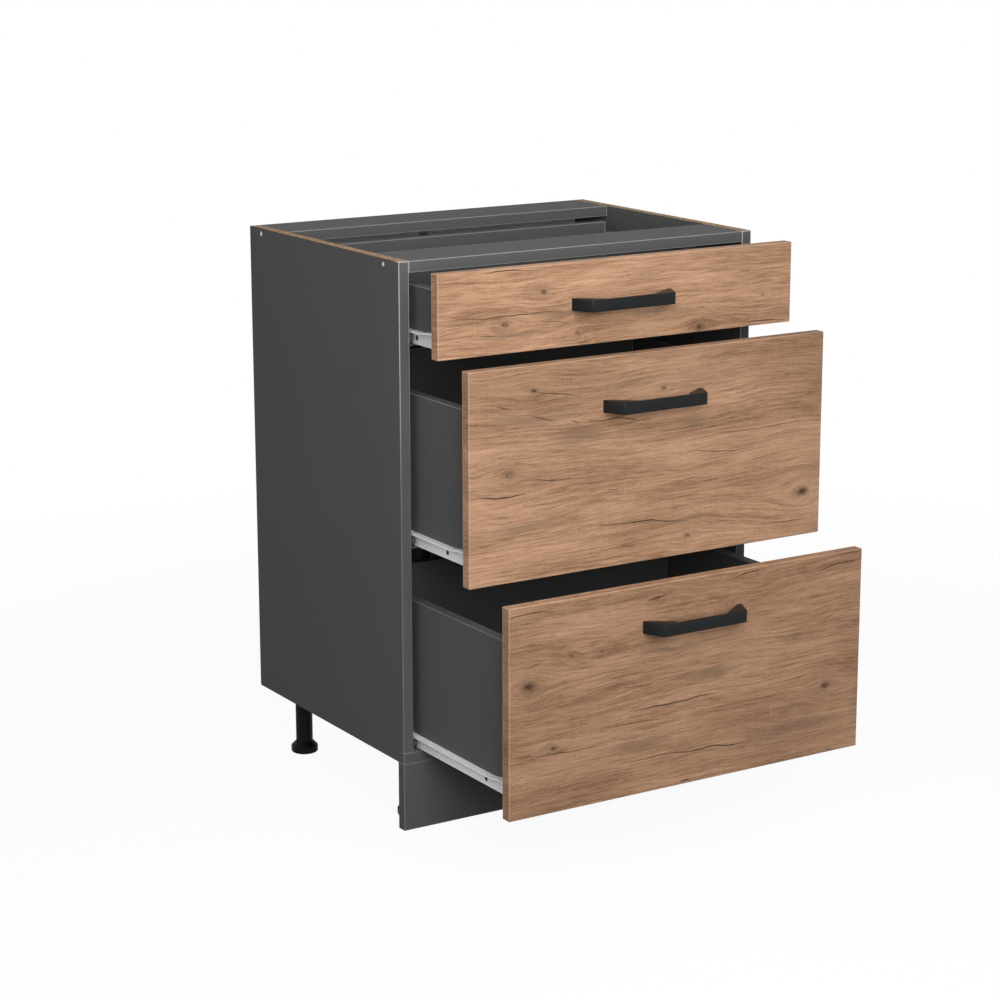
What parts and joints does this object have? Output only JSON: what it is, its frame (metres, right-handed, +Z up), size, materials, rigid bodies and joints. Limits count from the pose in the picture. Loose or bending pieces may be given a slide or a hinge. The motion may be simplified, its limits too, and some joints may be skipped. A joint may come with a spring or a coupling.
{
  "type": "base cabinet with drawers",
  "caption": "Kitchen base cabinet on adjustable legs behind a plinth, open on top for a worktop, with drawers on roller runners, oak-decor fronts and bow handles.",
  "frame": {"origin": "on the floor, at mid-width, in the plane of the carcass's front edges", "axes": "+Z up, +Y towards the wall, +X to the right seen from the front"},
  "size_m": [0.6, 0.7595, 0.82],
  "materials": {
    "carcass_board": "graphite melamine on chipboard, matt",
    "back_board": "lacquered hardboard, matt",
    "front_board": "oak decor with open grain, matt",
    "dowel_wood": "plain beech",
    "runner_steel": "white powder coat",
    "fixed_runner_steel": "grey powder coat",
    "fixed_roller_nylon": "grey nylon",
    "roller_nylon": "white nylon",
    "screw_steel": "zinc plated",
    "leg_plastic": "black moulded plastic",
    "strip_plastic": "grey extruded plastic",
    "handle_black": "matt black coating"
  },
  "bodies": {
    "cabinet": {"side_panel_left": "carcass_board", "side_panel_right": "carcass_board", "bottom_panel": "carcass_board", "top_rail_front": "carcass_board", "top_rail_back": "carcass_board", "back_sheet_left": "back_board", "back_sheet_right": "back_board", "back_joint_strip": "strip_plastic", "plinth_board": "carcass_board", "plinth_clips": "leg_plastic", "carcass_screws": "screw_steel", "carcass_dowels": "dowel_wood", "back_nails": "screw_steel", "leg_sockets": "leg_plastic", "leg_tubes": "leg_plastic", "leg_screws": "screw_steel", "cabinet_runners_1": "fixed_runner_steel", "cabinet_runners_2": "fixed_runner_steel", "cabinet_runners_3": "fixed_runner_steel", "runner_screws": "screw_steel"},
    "drawer_1": {"drawer_1_front": "front_board", "drawer_1_side_left": "carcass_board", "drawer_1_side_right": "carcass_board", "drawer_1_back": "carcass_board", "drawer_1_box_front": "carcass_board", "drawer_1_bottom": "carcass_board", "drawer_1_runners": "runner_steel", "drawer_1_handle": "handle_black", "drawer_1_handle_screws": "screw_steel", "drawer_1_screws": "screw_steel"},
    "drawer_2": {"drawer_2_front": "front_board", "drawer_2_side_left": "carcass_board", "drawer_2_side_right": "carcass_board", "drawer_2_back": "carcass_board", "drawer_2_box_front": "carcass_board", "drawer_2_bottom": "carcass_board", "drawer_2_runners": "runner_steel", "drawer_2_handle": "handle_black", "drawer_2_handle_screws": "screw_steel", "drawer_2_screws": "screw_steel"},
    "drawer_3": {"drawer_3_front": "front_board", "drawer_3_side_left": "carcass_board", "drawer_3_side_right": "carcass_board", "drawer_3_back": "carcass_board", "drawer_3_box_front": "carcass_board", "drawer_3_bottom": "carcass_board", "drawer_3_runners": "runner_steel", "drawer_3_handle": "handle_black", "drawer_3_handle_screws": "screw_steel", "drawer_3_screws": "screw_steel"},
    "cabinet_rollers_1_body": {"cabinet_rollers_1": "fixed_roller_nylon"},
    "drawer_rollers_1_body": {"drawer_1_rollers": "roller_nylon"},
    "cabinet_rollers_2_body": {"cabinet_rollers_2": "fixed_roller_nylon"},
    "drawer_rollers_2_body": {"drawer_2_rollers": "roller_nylon"},
    "cabinet_rollers_3_body": {"cabinet_rollers_3": "fixed_roller_nylon"},
    "drawer_rollers_3_body": {"drawer_3_rollers": "roller_nylon"},
    "foot_front_left_body": {"foot_front_left": "leg_plastic"},
    "foot_front_right_body": {"foot_front_right": "leg_plastic"},
    "foot_back_left_body": {"foot_back_left": "leg_plastic"},
    "foot_back_right_body": {"foot_back_right": "leg_plastic"}
  },
  "joints": [
    {"name": "drawer_1_slide", "type": "slide", "parent": "cabinet", "child": "drawer_1", "axis": [0, -1, 0], "range_m": [-0.0825, 0.2125]},
    {"name": "drawer_2_slide", "type": "slide", "parent": "cabinet", "child": "drawer_2", "axis": [0, -1, 0], "range_m": [-0.161, 0.134]},
    {"name": "drawer_3_slide", "type": "slide", "parent": "cabinet", "child": "drawer_3", "axis": [0, -1, 0], "range_m": [-0.2605, 0.0345]},
    {"name": "cabinet_rollers_1_spin", "type": "hinge", "parent": "cabinet", "child": "cabinet_rollers_1_body", "pos_m": [0, 0.014, 0.7132], "axis": [1, 0, 0], "continuous": true},
    {"name": "drawer_rollers_1_spin", "type": "hinge", "parent": "drawer_1", "child": "drawer_rollers_1_body", "pos_m": [0, 0.3045, 0.7128], "axis": [1, 0, 0], "continuous": true},
    {"name": "cabinet_rollers_2_spin", "type": "hinge", "parent": "cabinet", "child": "cabinet_rollers_2_body", "pos_m": [0, 0.014, 0.4257], "axis": [1, 0, 0], "continuous": true},
    {"name": "drawer_rollers_2_spin", "type": "hinge", "parent": "drawer_2", "child": "drawer_rollers_2_body", "pos_m": [0, 0.226, 0.4253], "axis": [1, 0, 0], "continuous": true},
    {"name": "cabinet_rollers_3_spin", "type": "hinge", "parent": "cabinet", "child": "cabinet_rollers_3_body", "pos_m": [0, 0.014, 0.1277], "axis": [1, 0, 0], "continuous": true},
    {"name": "drawer_rollers_3_spin", "type": "hinge", "parent": "drawer_3", "child": "drawer_rollers_3_body", "pos_m": [0, 0.1265, 0.1273], "axis": [1, 0, 0], "continuous": true},
    {"name": "foot_front_left_adjust", "type": "slide", "parent": "cabinet", "child": "foot_front_left_body", "axis": [0, 0, -1], "range_m": [0, 0.02]},
    {"name": "foot_front_right_adjust", "type": "slide", "parent": "cabinet", "child": "foot_front_right_body", "axis": [0, 0, -1], "range_m": [0, 0.02]},
    {"name": "foot_back_left_adjust", "type": "slide", "parent": "cabinet", "child": "foot_back_left_body", "axis": [0, 0, -1], "range_m": [0, 0.02]},
    {"name": "foot_back_right_adjust", "type": "slide", "parent": "cabinet", "child": "foot_back_right_body", "axis": [0, 0, -1], "range_m": [0, 0.02]}
  ],
  "couplings": [
    {"joint": "cabinet_rollers_1_spin", "follows": "drawer_1_slide", "rad_per_m": 111.11},
    {"joint": "drawer_rollers_1_spin", "follows": "drawer_1_slide", "rad_per_m": 111.11},
    {"joint": "cabinet_rollers_2_spin", "follows": "drawer_2_slide", "rad_per_m": 111.11},
    {"joint": "drawer_rollers_2_spin", "follows": "drawer_2_slide", "rad_per_m": 111.11},
    {"joint": "cabinet_rollers_3_spin", "follows": "drawer_3_slide", "rad_per_m": 111.11},
    {"joint": "drawer_rollers_3_spin", "follows": "drawer_3_slide", "rad_per_m": 111.11}
  ]
}
